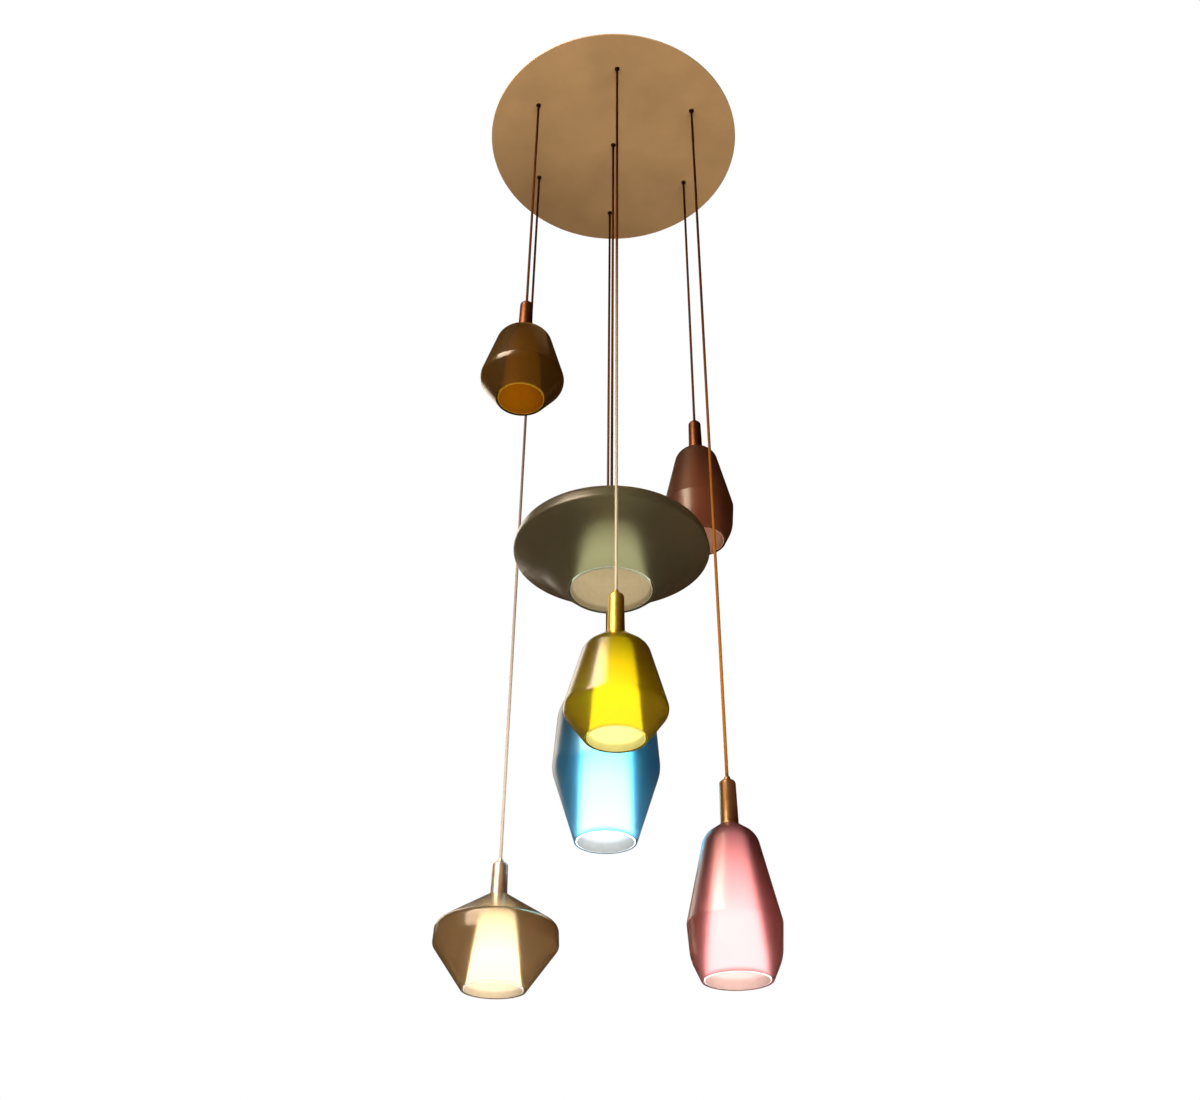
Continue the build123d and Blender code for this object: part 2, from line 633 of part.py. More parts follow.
def make_terminal_block():
    """A strip of clamp terminals, with a screw well under each way and a fixing hole at each end."""
    block = Pos(0, BLOCK_Y, BLOCK_BOTTOM) * Box(BLOCK_LENGTH, BLOCK_WIDTH, BLOCK_HEIGHT, align=ON_FLOOR)
    block = fillet(block.edges().filter_by(Axis.Z), BLOCK_ROUND)
    for place in GridLocations(BLOCK_PITCH, 0, BLOCK_WAYS, 1):
        well = Cylinder(BLOCK_WELL_RADIUS, BLOCK_WELL_DEPTH, align=ON_FLOOR)
        block -= Pos(0, BLOCK_Y, BLOCK_BOTTOM) * place * well
    for place in block_screw_places():
        block -= place * Pos(0, 0, -BLOCK_HEIGHT) * Cylinder(
            BLOCK_SCREW_RADIUS + SCREW_CLEARANCE, BLOCK_HEIGHT, align=ON_FLOOR
        )
    return block


def make_block_screws():
    """Screws up through the block into the pan, short of the ceiling."""
    head_bottom = BLOCK_BOTTOM - BLOCK_SCREW_HEAD_HEIGHT
    screw = lathe(
        [
            (0, head_bottom, 0),
            (BLOCK_SCREW_HEAD_RADIUS, head_bottom, BLOCK_SCREW_HEAD_HEIGHT / 2),
            (BLOCK_SCREW_HEAD_RADIUS, BLOCK_BOTTOM, 0),
            (BLOCK_SCREW_RADIUS, BLOCK_BOTTOM, 0),
            (BLOCK_SCREW_RADIUS, -BLOCK_SCREW_BELOW_CEILING, 0),
            (0, -BLOCK_SCREW_BELOW_CEILING, 0),
        ]
    )
    return [Pos(0, 0, SHEET) * place * screw for place in block_screw_places()]


def make_earth_terminal():
    """A weld stud with a hexagon base on the pan's inner face."""
    base = extrude(RegularPolygon(EARTH_HEX_ACROSS_FLATS / 2, 6, major_radius=False), -EARTH_HEX_HEIGHT)
    stud = Pos(0, 0, -EARTH_STUD_LENGTH) * Cylinder(EARTH_STUD_RADIUS, EARTH_STUD_LENGTH, align=ON_FLOOR)
    return Pos(EARTH_X, EARTH_Y, -SHEET) * (base + stud)


def make_supply_grommet():
    """A flanged bush in the pan's supply hole, just short of the ceiling face."""
    flange_bottom = -SHEET - GROMMET_FLANGE_HEIGHT
    return Pos(SUPPLY_X, SUPPLY_Y, 0) * lathe(
        [
            (GROMMET_BORE_RADIUS, flange_bottom, 0),
            (GROMMET_FLANGE_RADIUS, flange_bottom, EDGE_ROUND),
            (GROMMET_FLANGE_RADIUS, -SHEET, EDGE_ROUND),
            (GROMMET_BODY_RADIUS, -SHEET, 0),
            (GROMMET_BODY_RADIUS, -GROMMET_BELOW_CEILING, EDGE_ROUND),
            (GROMMET_BORE_RADIUS, -GROMMET_BELOW_CEILING, 0),
        ]
    )


def canopy_nodes():
    """Everything that is fixed to the ceiling."""
    return {
        "canopy_disc": make_disc(),
        "ceiling_pan": make_pan(),
        "side_screws": make_side_screws(),
        "outlet_bushes": at_outlets(make_outlet_bush()),
        "bush_nuts": at_outlets(make_bush_nut()),
        "cord_stops": at_outlets(make_cord_stop()),
        "inner_leads": [make_lead(pendant) for pendant in PENDANTS],
        "terminal_block": make_terminal_block(),
        "block_screws": make_block_screws(),
        "earth_terminal": make_earth_terminal(),
        "supply_grommet": make_supply_grommet(),
    }


def pendant_nodes(pendant):
    """One pendant: its cord, and the pieces of its head in their places."""
    x, y = outlet_place(pendant)
    head = Pos(x, y, neck_height(pendant))
    return {
        f"{pendant.name}_cord": make_cord(pendant),
        f"{pendant.name}_stem": head * make_stem(pendant.stem_length),
        f"{pendant.name}_cord_grip": head * make_cord_grip(pendant.stem_length),
        f"{pendant.name}_lampholder": head * make_lampholder(),
        f"{pendant.name}_lamp": head * make_lamp(),
        f"{pendant.name}_diffuser": head * make_diffuser(pendant.form),
        f"{pendant.name}_shade": head * make_shade(pendant.form),
    }


nodes = canopy_nodes()
for pendant in PENDANTS:
    nodes.update(pendant_nodes(pendant))

os.makedirs("parts", exist_ok=True)
for name, piece in nodes.items():
    solids = Compound(children=piece) if isinstance(piece, list) else piece
    export_step(solids, f"parts/{name}.step")
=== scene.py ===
from itertools import pairwise
from math import atan2, cos, pi, radians, sin, tan
from typing import NamedTuple

import bmesh
import bpy
from mathutils import Matrix, Vector


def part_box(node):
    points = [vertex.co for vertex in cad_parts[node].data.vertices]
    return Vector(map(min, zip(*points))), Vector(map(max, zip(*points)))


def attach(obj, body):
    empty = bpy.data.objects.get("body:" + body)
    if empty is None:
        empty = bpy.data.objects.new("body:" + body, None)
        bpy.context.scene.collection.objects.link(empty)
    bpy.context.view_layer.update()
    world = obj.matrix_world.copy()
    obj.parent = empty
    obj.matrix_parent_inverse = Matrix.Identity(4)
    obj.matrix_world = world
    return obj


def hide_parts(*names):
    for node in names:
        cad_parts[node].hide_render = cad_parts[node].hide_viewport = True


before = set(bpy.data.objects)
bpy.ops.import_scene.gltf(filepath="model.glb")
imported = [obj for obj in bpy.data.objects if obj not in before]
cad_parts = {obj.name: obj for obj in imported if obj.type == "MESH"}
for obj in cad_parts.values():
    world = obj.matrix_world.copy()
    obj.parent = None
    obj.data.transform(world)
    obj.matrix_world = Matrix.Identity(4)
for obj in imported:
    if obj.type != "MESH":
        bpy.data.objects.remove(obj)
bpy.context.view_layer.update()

# Cluster pendant light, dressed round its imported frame. Metres, +Z up, the ceiling at height 0.
MM = 0.001

# Camera, where the photographer stood: below the light, looking up
CAMERA_PLACE = Vector((-0.0749, -1.9337, -2.5988))
CAMERA_HEADING = radians(1.57)
CAMERA_TILT = radians(34.55)
CAMERA_ROLL = radians(0.624)
CAMERA_LENS_MM = 36.87
CAMERA_SENSOR_MM = 36.0

# Floor, at the feet of a standing photographer
EYE_HEIGHT = 1.6
FLOOR_REACH = 60.0
FLOOR_DARK = (0.84, 0.83, 0.81)
FLOOR_PALE = (0.88, 0.87, 0.85)
FLOOR_GLOW = (0.9, 0.89, 0.87, 1)
FLOOR_GLOW_STRENGTH = 0.85

# Light: warm white lamps in a dim room that is paler on the left
WARM_WHITE = (1.0, 0.90, 0.76)
ROOM_LEFT = (0.085, 0.048, 0.026)
ROOM_RIGHT = (0.032, 0.009, 0.002)


class SoftLight(NamedTuple):
    """A rectangular lamp: its place, the point that it faces, its size in metres and its power."""

    place: tuple
    target: tuple
    width: float
    height: float
    watts: float
    glossy: bool = True


SOFT_LIGHTS = {
    "left_panel": SoftLight((-1.65, -1.5, -0.1), (0, 0, -1.5), width=1.2, height=2.2, watts=110),
    "back_panel": SoftLight((-1.2, 1.8, -0.3), (0, 0, -1.3), width=1.0, height=1.8, watts=12),
    "low_light": SoftLight((0.2, -1.0, -3.4), (0, 0, -0.5), width=1.2, height=1.2, watts=66, glossy=False),
}

# How finely round pieces are turned
TURN_STEPS = 128
SMALL_TURN_STEPS = 48
CORD_TURN_STEPS = 24
ARC_STEPS = 10
LIP_STEPS = 3
LIP_CORNER = radians(60)
SMOOTH_BELOW = radians(28)
WELD_DISTANCE = 1e-6

# Glass walls and the flat neck that every shade has, in millimetres
SHADE_WALL = 3.0
DIFFUSER_WALL = 2.0
NECK_BORE_RADIUS = 10.8
NECK_FLAT_RADIUS = 17.0
NECK_ROUND = 6.0
FLANGE_RADIUS = 15.0
FLANGE_ROUND = 2.5
SHOULDER_ROUND = 8.0
SHADE_LIP_ROUND = 1.0
DIFFUSER_LIP_ROUND = 0.7

# Shade forms as (radius, depth below the neck, rounding) corners in millimetres; the last is the mouth.
# Each diffuser is given by the radius and depth of its shoulder.
SHADE_FORMS = {
    "bell": [(54, 29, 24), (85, 140, 16), (50, 188, 0)],
    "drop": [(42, 18, 32), (72.5, 154, 12), (68.5, 206, 60), (53, 239, 0)],
    "top": [(103, 54, 14), (104.5, 86, 10), (53, 157, 0)],
    "barrel": [(92, 44, 66), (103, 186, 58), (57.5, 328, 0)],
    "saucer": [(181, 41, 25), (188, 74, 6), (128, 115, 150), (82, 156, 0)],
}
DIFFUSER_SHOULDERS = {
    "bell": (27, 23),
    "drop": (24, 21),
    "top": (28, 23),
    "barrel": (40, 29),
    "saucer": (50, 28),
}


class Pendant(NamedTuple):
    """A pendant's form, the tint of its glass, the light of its lamp, and the painted lamp light on its
    diffuser and the lower end of its cord.
    """

    form: str
    tint: tuple
    frost: float
    glow: tuple
    glow_strength: float
    inner_glow: tuple
    inner_strength: float
    lamp_strength: float
    # The cord's colour at its lamp end, pale with painted lamp light where the lamp is lit
    cord_end: tuple
    metal: str


PENDANTS = {
    "brown": Pendant(
        form="bell",
        tint=(0.36, 0.14, 0.002),
        frost=0.18,
        glow=(1.0, 0.60, 0.05),
        glow_strength=0.12,
        inner_glow=(1.0, 0.36, 0.004),
        inner_strength=0.04,
        lamp_strength=0.3,
        cord_end=(0.10, 0.03, 0.008),
        # its stem is brass, darkened as painted shade
        metal="shaded_brass",
    ),
    "russet": Pendant(
        form="drop",
        tint=(0.46, 0.12, 0.045),
        frost=0.40,
        glow=(1.0, 0.55, 0.40),
        glow_strength=0.16,
        inner_glow=(1.0, 0.50, 0.35),
        inner_strength=0.10,
        lamp_strength=0.3,
        cord_end=(0.10, 0.03, 0.008),
        # its stem is brass, darkened as painted shade
        metal="shaded_brass",
    ),
    "olive": Pendant(
        form="saucer",
        tint=(0.40, 0.36, 0.20),
        frost=0.34,
        glow=(0.93, 0.97, 0.70),
        glow_strength=0.9,
        inner_glow=(0.80, 0.66, 0.40),
        inner_strength=0.36,
        lamp_strength=0.8,
        cord_end=(0.10, 0.03, 0.008),
        metal="brass",
    ),
    "blue": Pendant(
        form="barrel",
        tint=(0.010, 0.135, 0.26),
        frost=0.32,
        glow=(1.0, 1.0, 1.0),
        glow_strength=16.0,
        inner_glow=(0.85, 0.94, 1.0),
        inner_strength=0.75,
        lamp_strength=6.0,
        cord_end=(0.36, 0.18, 0.05),
        metal="brass",
    ),
    "yellow": Pendant(
        form="bell",
        tint=(0.88, 0.60, 0.003),
        frost=0.18,
        glow=(1.0, 0.95, 0.2),
        glow_strength=1.7,
        inner_glow=(1.0, 0.94, 0.36),
        inner_strength=0.75,
        lamp_strength=6.0,
        cord_end=(0.74, 0.66, 0.48),
        metal="brass",
    ),
    "pink": Pendant(
        form="drop",
        tint=(0.40, 0.085, 0.080),
        frost=0.32,
        glow=(1.0, 0.94, 0.97),
        glow_strength=6.0,
        inner_glow=(1.0, 0.72, 0.70),
        inner_strength=0.65,
        lamp_strength=6.0,
        cord_end=(0.54, 0.20, 0.02),
        metal="copper",
    ),
    "amber": Pendant(
        form="top",
        tint=(0.92, 0.61, 0.27),
        frost=0.18,
        glow=(1.0, 0.97, 0.92),
        glow_strength=3.0,
        inner_glow=(1.0, 0.84, 0.62),
        inner_strength=0.65,
        lamp_strength=6.0,
        cord_end=(0.72, 0.64, 0.56),
        metal="champagne",
    ),
}
STEM_METALS = {
    "brass": (0.82, 0.54, 0.10),
    "champagne": (0.88, 0.70, 0.58),
    "copper": (0.80, 0.42, 0.20),
    # Brass of the brown and russet stems, darkened as painted shade
    "shaded_brass": (0.17, 0.055, 0.018),
}

# Glass: the power that shares its tint over the faces that light crosses, how much white its mouth has,
# how much darker its neck is beside that tint, which is painted shade on the upper glass, and how far its
# frost varies
TINT_POWER = 0.7
MOUTH_WHITE = 0.06
NECK_SHADE_SHARE = 0.66
FROST_VARIES = 0.025
REFLECTION_TINT = (1.0, 0.72, 0.45, 1)

# Diffusers: how much of the height the ground lip takes and fades over, and how bright the etched glass's
# base colour is beside the colour of its light: painted in that light's colour and dimmed as painted shade
OUTER_LIP = 0.012
INNER_LIP = 0.05
LIP_FADE = 0.025
OUTER_GLOW_SHADE = 0.6
INNER_GLOW_SHADE = 0.45

# Where a cloudy finish is darkest and palest on its noise
CLOUD_DARK = 0.3
CLOUD_PALE = 0.7

# Cord colours: the darkest is painted shade near the ceiling; a diagonal wave texture of scale 1 runs
# through 10 radians in one unit
CORD_SHADED = (0.03, 0.004, 0.0006)
CORD_MIDDLE = (0.085, 0.02, 0.002)
BRAID_SHADOW = (0.45, 0.4, 0.36, 1)
WAVE_RADIANS = 10

# Cords, stems and cord grips, in millimetres
CORD_RADIUS = 2.75
CORD_STRANDS = 16
CORD_TOP = -49.0
CORD_INTO_STEM = 6.0
STEM_TOP_RADIUS = 13.2
STEM_FOOT_RADIUS = 14.6
STEM_ROUND = 6.0
STEM_BORE_RADIUS = 4.75
GRIP_BASE_RADIUS = 6.65
GRIP_TIP_RADIUS = 4.25
GRIP_BORE_RADIUS = 3.05
EDGE_ROUND = 0.4


class Finish:
    """A material with one principled shader, and short ways to add nodes to it."""

    def __init__(self, name):
        self.material = bpy.data.materials.new(name)
        self.material.use_nodes = True
        self.tree = self.material.node_tree
        self.shader = self.tree.nodes["Principled BSDF"]
        self.place = self.add("ShaderNodeTexCoord")

    def add(self, kind, **settings):
        node = self.tree.nodes.new(kind)
        for key, value in settings.items():
            setattr(node, key, value)
        return node

    def link(self, output, target):
        self.tree.links.new(output, target)

    def set(self, **sockets):
        for name, value in sockets.items():
            title = name.replace("_", " ").title().replace("Ior", "IOR")
            self.shader.inputs[title].default_value = value

    def stretched(self, scale, coordinates="Object"):
        """Coordinates scaled by a different amount along each axis."""
        mapping = self.add("ShaderNodeMapping")
        mapping.inputs["Scale"].default_value = scale
        self.link(self.place.outputs[coordinates], mapping.inputs["Vector"])
        return mapping.outputs["Vector"]

    def noise(self, size, detail=3.0, scale=(1, 1, 1)):
        """Cloudy noise whose patches are about size metres across."""
        node = self.add("ShaderNodeTexNoise")
        node.inputs["Scale"].default_value = 1 / size
        node.inputs["Detail"].default_value = detail
        self.link(self.stretched(scale), node.inputs["Vector"])
        return node.outputs["Fac"]

    def height(self, low, high):
        """0 at height low and 1 at height high."""
        split = self.add("ShaderNodeSeparateXYZ")
        self.link(self.place.outputs["Object"], split.inputs["Vector"])
        share = self.add("ShaderNodeMapRange")
        share.inputs["From Min"].default_value = low
        share.inputs["From Max"].default_value = high
        self.link(split.outputs["Z"], share.inputs["Value"])
        return share.outputs["Result"]

    def ramp(self, value, stops):
        """Colours at stops of a value, as (place, colour) pairs."""
        node = self.add("ShaderNodeValToRGB")
        elements = node.color_ramp.elements
        for element, (place, colour) in zip(elements, stops):
            element.position = place
            element.color = (*colour, 1)
        for place, colour in stops[len(elements):]:
            elements.new(place).color = (*colour, 1)
        self.link(value, node.inputs["Fac"])
        return node.outputs["Color"]

    def spread(self, value, low, high):
        """A value from 0 to 1 spread over low to high."""
        node = self.add("ShaderNodeMapRange")
        node.inputs["To Min"].default_value = low
        node.inputs["To Max"].default_value = high
        self.link(value, node.inputs["Value"])
        return node.outputs["Result"]

    def colour(self, value, stops):
        self.link(self.ramp(value, stops), self.shader.inputs["Base Color"])

    def clouds(self, value, dark, pale):
        """A base colour that goes from dark to pale with a noise."""
        self.colour(value, [(CLOUD_DARK, dark), (CLOUD_PALE, pale)])

    def roughness(self, value, low, high):
        self.link(self.spread(value, low, high), self.shader.inputs["Roughness"])

    def bump(self, value, depth, strength):
        node = self.add("ShaderNodeBump")
        node.inputs["Strength"].default_value = strength
        node.inputs["Distance"].default_value = depth
        self.link(value, node.inputs["Height"])
        self.link(node.outputs["Normal"], self.shader.inputs["Normal"])


def mixed(colour, other, share):
    return tuple(a + (b - a) * share for a, b in zip(colour, other))


def shaded(colour, factor):
    return tuple(min(1.0, channel * factor) for channel in colour)


def canopy_paint():
    """Satin tan-gold paint with faint clouds and a fine orange peel."""
    finish = Finish("canopy_paint")
    tan_gold = (0.57, 0.37, 0.185)
    finish.clouds(finish.noise(size=0.11, detail=5.0), shaded(tan_gold, 0.9), shaded(tan_gold, 1.08))
    finish.roughness(finish.noise(size=0.02), low=0.42, high=0.56)
    finish.bump(finish.noise(size=0.0015, detail=2.0), depth=0.0001, strength=0.25)
    return finish.material


def sheet_metal(name, colour, roughness):
    """Plated or bare metal with faint rolling lines and a patchy sheen."""
    finish = Finish(name)
    lines = finish.noise(size=0.004, detail=4.0, scale=(0.15, 1, 1))
    finish.clouds(lines, shaded(colour, 0.85), shaded(colour, 1.1))
    finish.roughness(finish.noise(size=0.012), low=roughness, high=roughness + 0.15)
    finish.bump(lines, depth=0.00005, strength=0.2)
    finish.set(metallic=1.0)
    return finish.material


def turned_metal(name, colour):
    """Satin metal with the fine rings that a lathe tool leaves."""
    finish = Finish(name)
    rings = finish.noise(size=0.0007, detail=2.0, scale=(0.02, 0.02, 1))
    finish.clouds(finish.noise(size=0.02, detail=4.0), shaded(colour, 0.86), shaded(colour, 1.08))
    finish.roughness(rings, low=0.34, high=0.46)
    finish.bump(rings, depth=0.00004, strength=0.3)
    finish.set(metallic=0.9)
    return finish.material


def moulded(name, colour, roughness):
    """Moulded plastic, rubber or unglazed ceramic with a fine grain."""
    finish = Finish(name)
    finish.clouds(finish.noise(size=0.01, detail=4.0), shaded(colour, 0.9), shaded(colour, 1.05))
    finish.roughness(finish.noise(size=0.004), low=roughness, high=roughness + 0.15)
    finish.bump(finish.noise(size=0.0006, detail=2.0), depth=0.00005, strength=0.3)
    return finish.material


def cord_textile(pendant, low, high):
    """A braided textile sleeve, with painted shade at the ceiling and painted lamp light towards its lamp.
    """
    finish = Finish("cord_textile_" + pendant)
    strands = []
    for slant in (1, -1):
        wave = finish.add("ShaderNodeTexWave", bands_direction="DIAGONAL")
        wave.inputs["Scale"].default_value = CORD_STRANDS * 2 * pi / WAVE_RADIANS
        finish.link(finish.stretched((1, slant, 0), "UV"), wave.inputs["Vector"])
        strands.append(wave.outputs["Fac"])
    braid = finish.add("ShaderNodeMath", operation="MAXIMUM")
    for strand, target in zip(strands, braid.inputs):
        finish.link(strand, target)
    pale = PENDANTS[pendant].cord_end
    # Painted shade darkens the cord near the ceiling, and painted lamp light makes it paler near its lamp
    length = finish.ramp(
        finish.height(low, high),
        [(0.0, pale), (0.25, mixed(CORD_MIDDLE, pale, 0.6)), (0.6, CORD_MIDDLE), (0.85, CORD_SHADED)],
    )
    shade = finish.add("ShaderNodeMix", data_type="RGBA", blend_type="MULTIPLY")
    finish.link(finish.spread(braid.outputs["Value"], low=0.5, high=0.0), shade.inputs["Factor"])
    finish.link(length, shade.inputs["A"])
    shade.inputs["B"].default_value = BRAID_SHADOW
    finish.link(shade.outputs["Result"], finish.shader.inputs["Base Color"])
    finish.roughness(finish.noise(size=0.003), low=0.38, high=0.55)
    finish.bump(braid.outputs["Value"], depth=0.0002, strength=0.35)
    finish.set(specular_ior_level=0.04)
    return finish.material


def tinted_glass(pendant, low, high):
    """Glass tinted through, painted darker towards the neck as shade, with a satin lustre on its surface.
    """
    finish = Finish("glass_" + pendant)
    one_face = tuple(channel ** TINT_POWER for channel in PENDANTS[pendant].tint)
    finish.colour(
        finish.height(low, high),
        [
            (0.0, mixed(one_face, (1, 1, 1), MOUTH_WHITE)),
            (0.5, one_face),
            (1.0, shaded(one_face, NECK_SHADE_SHARE)),
        ],
    )
    frost = PENDANTS[pendant].frost
    streaks = finish.noise(size=0.03, detail=4.0, scale=(1, 1, 0.3))
    finish.roughness(streaks, low=frost - FROST_VARIES, high=frost + FROST_VARIES)
    finish.bump(finish.noise(size=0.02, detail=2.0, scale=(1, 1, 0.25)), depth=0.0002, strength=0.12)
    finish.set(transmission_weight=0.94, ior=1.45, specular_tint=REFLECTION_TINT)
    finish.set(coat_weight=0.55, coat_roughness=0.27, coat_ior=1.5)
    return finish.material


def satin_glow(name, light, strength, glow_shade, lip, low, high):
    """Etched glass with painted lamp light: plain at the ground lip, bright above it, dimmer at the
    shoulder.
    """
    finish = Finish(name)
    # The base colour is the light's colour, dimmed as painted shade
    glass = shaded(light, glow_shade)
    finish.clouds(finish.noise(size=0.01, detail=4.0), shaded(glass, 0.86), glass)
    # Shares of the painted lamp light at shares of the height
    shares = [(0.0, 0.15), (lip, 0.3), (lip + LIP_FADE, 0.85), (0.35, 1.0), (0.7, 0.6), (1.0, 0.1)]
    glow = finish.ramp(finish.height(low, high), [(place, shaded(light, share)) for place, share in shares])
    finish.link(glow, finish.shader.inputs["Emission Color"])
    finish.roughness(finish.noise(size=0.002), low=0.3, high=0.42)
    finish.bump(finish.noise(size=0.0008, detail=2.0), depth=0.00004, strength=0.3)
    finish.set(emission_strength=strength)
    return finish.material


def lamp_bulb(pendant):
    """A frosted capsule lamp."""
    finish = Finish("lamp_" + pendant)
    frost = finish.noise(size=0.004)
    light = finish.ramp(frost, [(CLOUD_DARK, (1.0, 0.86, 0.66)), (CLOUD_PALE, (1.0, 0.95, 0.84))])
    finish.link(light, finish.shader.inputs["Emission Color"])
    finish.clouds(frost, (0.85, 0.83, 0.78), (0.95, 0.94, 0.9))
    finish.roughness(frost, low=0.35, high=0.5)
    finish.set(emission_strength=PENDANTS[pendant].lamp_strength)
    return finish.material


def outline(corners, closed):
    """A bmesh with an outline of (radius, height, rounding) corners in millimetres, its corners rounded."""
    shape = bmesh.new()
    points = [shape.verts.new((radius * MM, 0, height * MM)) for radius, height, _ in corners]
    for start, end in pairwise(points):
        shape.edges.new((start, end))
    if closed:
        shape.edges.new((points[-1], points[0]))
    places = [point.co.copy() for point in points]
    for i, (point, (_, _, rounding)) in enumerate(zip(points, corners)):
        if rounding:
            towards = (places[i - 1] - places[i]).angle(places[(i + 1) % len(places)] - places[i])
            bmesh.ops.bevel(
                shape,
                geom=[point],
                offset=rounding * MM / tan(towards / 2),
                offset_type="OFFSET",
                segments=ARC_STEPS,
                profile=0.5,
                affect="VERTICES",
                material=-1,
            )
    return shape


def turn(shape, steps):
    """Turns an outline all the way round the vertical axis, with its faces outwards."""
    bmesh.ops.spin(
        shape,
        geom=shape.verts[:] + shape.edges[:],
        cent=(0, 0, 0),
        axis=(0, 0, 1),
        dvec=(0, 0, 0),
        angle=2 * pi,
        steps=steps,
        use_merge=True,
    )
    bmesh.ops.remove_doubles(shape, verts=shape.verts[:], dist=WELD_DISTANCE)
    bmesh.ops.recalc_face_normals(shape, faces=shape.faces[:])


def wrap(shape):
    """A UV map round the vertical axis: one unit is one time round, on both axes."""
    layer = shape.loops.layers.uv.new("round")
    girth = 2 * pi * CORD_RADIUS * MM
    for face in shape.faces:
        middle = face.calc_center_median()
        facing = atan2(middle.y, middle.x)
        for corner in face.loops:
            place = corner.vert.co
            turned = atan2(place.y, place.x) - facing
            turned = (turned + pi) % (2 * pi) - pi
            corner[layer].uv = ((facing + turned) / (2 * pi), place.z / girth)


def piece(name, shape, place, body, materials, slot, *stands_for):
    """A finished piece at its place in the frame, riding on its body in place of its CAD nodes."""
    bmesh.ops.translate(shape, verts=shape.verts[:], vec=place)
    mesh = bpy.data.meshes.new(name)
    shape.to_mesh(mesh)
    shape.free()
    mesh.polygons.foreach_set("use_smooth", [True] * len(mesh.polygons))
    mesh.set_sharp_from_angle(angle=SMOOTH_BELOW)
    for material in materials:
        mesh.materials.append(material)
    made = bpy.data.objects.new(name, mesh)
    bpy.context.scene.collection.objects.link(made)
    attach(made, body)
    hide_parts(*stands_for)
    return made


def shell(corners, wall, lip_round, steps):
    """A turned shell of even wall inside an outline, with a rounded lip."""
    shape = outline(corners, closed=False)
    turn(shape, steps)
    bmesh.ops.solidify(shape, geom=shape.faces[:], thickness=wall * MM)
    bmesh.ops.recalc_face_normals(shape, faces=shape.faces[:])
    lowest = corners[-1][1] * MM
    lip = [
        edge
        for edge in shape.edges
        if all(abs(vert.co.z - lowest) < wall * MM for vert in edge.verts)
        and edge.calc_face_angle(0) > LIP_CORNER
    ]
    bmesh.ops.bevel(
        shape,
        geom=lip,
        offset=lip_round * MM,
        offset_type="OFFSET",
        segments=LIP_STEPS,
        profile=0.5,
        affect="EDGES",
        material=-1,
    )
    return shape


def shade_shape(form):
    neck = [(NECK_BORE_RADIUS, 0, 0), (NECK_FLAT_RADIUS, 0, NECK_ROUND)]
    sides = [(radius, -depth, rounding) for radius, depth, rounding in SHADE_FORMS[form]]
    return shell(neck + sides, SHADE_WALL, SHADE_LIP_ROUND, TURN_STEPS)


def diffuser_shape(form, mouth_radius, mouth_depth):
    shoulder_radius, shoulder_depth = DIFFUSER_SHOULDERS[form]
    corners = [
        (NECK_BORE_RADIUS, -SHADE_WALL, 0),
        (FLANGE_RADIUS, -SHADE_WALL, FLANGE_ROUND),
        (shoulder_radius, -shoulder_depth, SHOULDER_ROUND),
        (mouth_radius, -mouth_depth, 0),
    ]
    shape = shell(corners, DIFFUSER_WALL, DIFFUSER_LIP_ROUND, TURN_STEPS)
    for face in shape.faces:
        middle = face.calc_center_median()
        outwards = Vector((middle.x, middle.y, 0))
        face.material_index = int(face.normal.dot(outwards) < 0)
    return shape


def stem_shape(length):
    shape = outline(
        [
            (STEM_BORE_RADIUS, 0, 0),
            (STEM_FOOT_RADIUS, 0, EDGE_ROUND),
            (STEM_TOP_RADIUS, length, STEM_ROUND),
            (STEM_BORE_RADIUS, length, 0),
        ],
        closed=True,
    )
    turn(shape, SMALL_TURN_STEPS)
    return shape


def grip_shape(height):
    shape = outline(
        [
            (GRIP_BORE_RADIUS, 0, 0),
            (GRIP_BASE_RADIUS, 0, EDGE_ROUND),
            (GRIP_TIP_RADIUS, height, EDGE_ROUND),
            (GRIP_BORE_RADIUS, height, 0),
        ],
        closed=True,
    )
    turn(shape, SMALL_TURN_STEPS)
    return shape


def cord_shape(length):
    shape = outline(
        [(0, 0, 0), (CORD_RADIUS, 0, 0), (CORD_RADIUS, -length, 0), (0, -length, 0)],
        closed=False,
    )
    turn(shape, CORD_TURN_STEPS)
    wrap(shape)
    return shape


def hang_shade(pendant, neck, mouth_height):
    glass = tinted_glass(pendant, mouth_height, neck.z)
    piece(pendant + "_glass_shade", shade_shape(PENDANTS[pendant].form), neck, pendant + "_head",
          [glass], "glass_" + pendant, pendant + "_shade")


def hang_diffuser(pendant, neck):
    """The satin diffuser, glowing with painted lamp light, its inner face in a colour of its own."""
    kind = PENDANTS[pendant]
    low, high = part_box(pendant + "_diffuser")
    outside = satin_glow("diffuser_" + pendant, kind.glow, kind.glow_strength,
                         OUTER_GLOW_SHADE, OUTER_LIP, low.z, high.z)
    inside = satin_glow("diffuser_inside_" + pendant, kind.inner_glow, kind.inner_strength,
                        INNER_GLOW_SHADE, INNER_LIP, low.z, high.z)
    mouth_radius = (high.x - low.x) / 2 / MM
    mouth_depth = (neck.z - low.z) / MM
    piece(pendant + "_satin_diffuser", diffuser_shape(kind.form, mouth_radius, mouth_depth), neck,
          pendant + "_head", [outside, inside], "diffuser_satin", pendant + "_diffuser")


